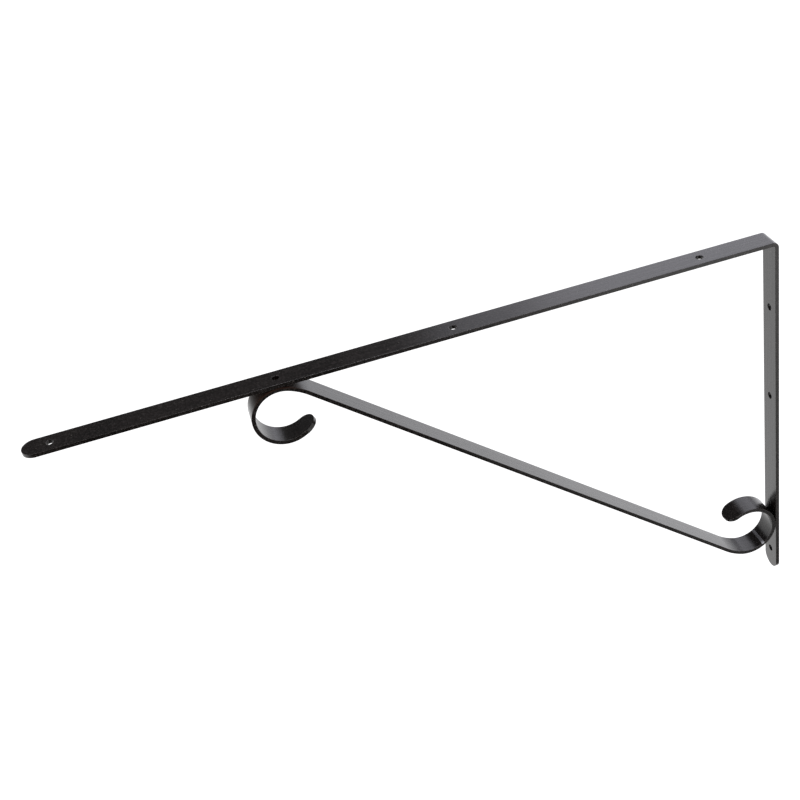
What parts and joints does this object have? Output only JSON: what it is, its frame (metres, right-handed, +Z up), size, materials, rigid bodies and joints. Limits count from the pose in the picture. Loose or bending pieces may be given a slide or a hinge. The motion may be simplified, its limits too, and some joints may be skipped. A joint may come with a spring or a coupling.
{
  "type": "scrolled wall bracket",
  "caption": "Right-angled wall bracket of flat black steel bar, propped by a diagonal bar that curls into a scroll at each end, with screw holes for a wall and a shelf.",
  "frame": {"origin": "on the back of the leg, in its middle line and at half its height, where it lies against the wall", "axes": "+Y into the wall, so the arm reaches out along -Y; +Z up; +X across the bar"},
  "size_m": [0.02, 0.59, 0.341],
  "materials": {
    "coated_bar": "black powder coat, satin, fine grain",
    "coated_brace": "black powder coat, satin, fine grain"
  },
  "bodies": {
    "root": {"bent_bar": "coated_bar", "scroll_brace": "coated_brace"}
  },
  "joints": []
}
